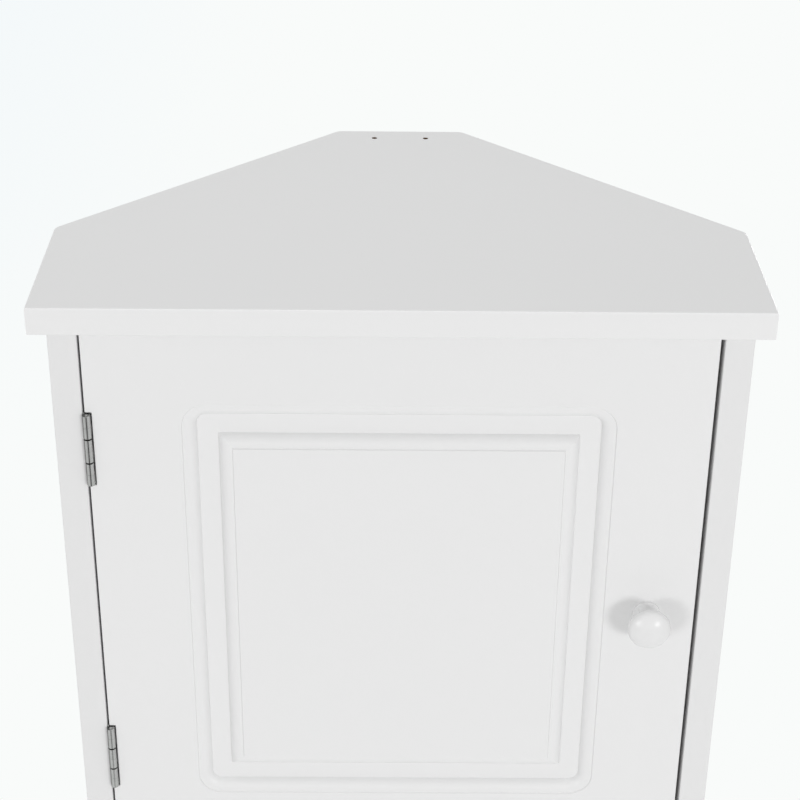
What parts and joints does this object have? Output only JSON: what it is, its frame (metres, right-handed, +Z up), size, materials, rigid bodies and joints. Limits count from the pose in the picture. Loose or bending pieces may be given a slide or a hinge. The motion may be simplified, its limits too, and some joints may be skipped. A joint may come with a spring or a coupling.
{
  "type": "corner storage cabinet",
  "caption": "Tall white corner storage cabinet, six-sided in plan, with inset panelled doors above and below, open shelves between, butt hinges, turned knobs and an arched plinth.",
  "frame": {"origin": "on the floor, under the middle of the whole cabinet with its knobs", "axes": "+Z up, -Y out of the doors, +Y into the corner of the room, +X to the right as one faces the doors"},
  "size_m": [0.45, 0.316, 1.6],
  "materials": {
    "painted_board": "satin white paint on board",
    "knob_lacquer": "white gloss lacquer on turned wood",
    "nickel_plate": "bright nickel plate",
    "bright_steel": "bright zinc plate",
    "zinc_casting": "dull die casting",
    "beech": "plain turned beech",
    "glide_plastic": "moulded",
    "catch_plastic": "moulded",
    "magnet_ferrite": "pressed and ground"
  },
  "bodies": {
    "carcass": {"bottom_board": "painted_board", "cam_bolts": "bright_steel", "cam_nuts": "zinc_casting", "floor_glides": "glide_plastic", "left_side_panel": "painted_board", "left_wall_panel": "painted_board", "lower_bottom_hinge_frame_leaf": "nickel_plate", "lower_bottom_hinge_pin": "nickel_plate", "lower_catch_housing": "catch_plastic", "lower_catch_magnets": "magnet_ferrite", "lower_catch_screws": "bright_steel", "lower_cupboard_shelf": "painted_board", "lower_divider": "painted_board", "lower_hinge_frame_screws": "bright_steel", "lower_open_shelf": "painted_board", "lower_top_hinge_frame_leaf": "nickel_plate", "lower_top_hinge_pin": "nickel_plate", "plinth_rail": "painted_board", "post_screws": "bright_steel", "rear_post": "painted_board", "right_side_panel": "painted_board", "right_wall_panel": "painted_board", "shelf_pins": "bright_steel", "top_board": "painted_board", "upper_bottom_hinge_frame_leaf": "nickel_plate", "upper_bottom_hinge_pin": "nickel_plate", "upper_catch_housing": "catch_plastic", "upper_catch_magnets": "magnet_ferrite", "upper_catch_screws": "bright_steel", "upper_cupboard_shelf": "painted_board", "upper_divider": "painted_board", "upper_hinge_frame_screws": "bright_steel", "upper_open_shelf": "painted_board", "upper_top_hinge_frame_leaf": "nickel_plate", "upper_top_hinge_pin": "nickel_plate", "wall_panel_screws": "bright_steel", "wood_dowels": "beech"},
    "upper_door": {"upper_bottom_hinge_door_leaf": "nickel_plate", "upper_door": "painted_board", "upper_hinge_door_screws": "bright_steel", "upper_knob": "knob_lacquer", "upper_knob_screw": "bright_steel", "upper_strike_plate": "bright_steel", "upper_strike_screw": "bright_steel", "upper_top_hinge_door_leaf": "nickel_plate"},
    "lower_door": {"lower_bottom_hinge_door_leaf": "nickel_plate", "lower_door": "painted_board", "lower_hinge_door_screws": "bright_steel", "lower_knob": "knob_lacquer", "lower_knob_screw": "bright_steel", "lower_strike_plate": "bright_steel", "lower_strike_screw": "bright_steel", "lower_top_hinge_door_leaf": "nickel_plate"}
  },
  "joints": [
    {"name": "upper_door_hinge", "type": "hinge", "parent": "carcass", "child": "upper_door", "pos_m": [-0.1945, -0.1335, 1.376], "axis": [0, 0, -1], "range_deg": [0, 170]},
    {"name": "lower_door_hinge", "type": "hinge", "parent": "carcass", "child": "lower_door", "pos_m": [-0.1945, -0.1335, 0.304], "axis": [0, 0, -1], "range_deg": [0, 170]}
  ]
}
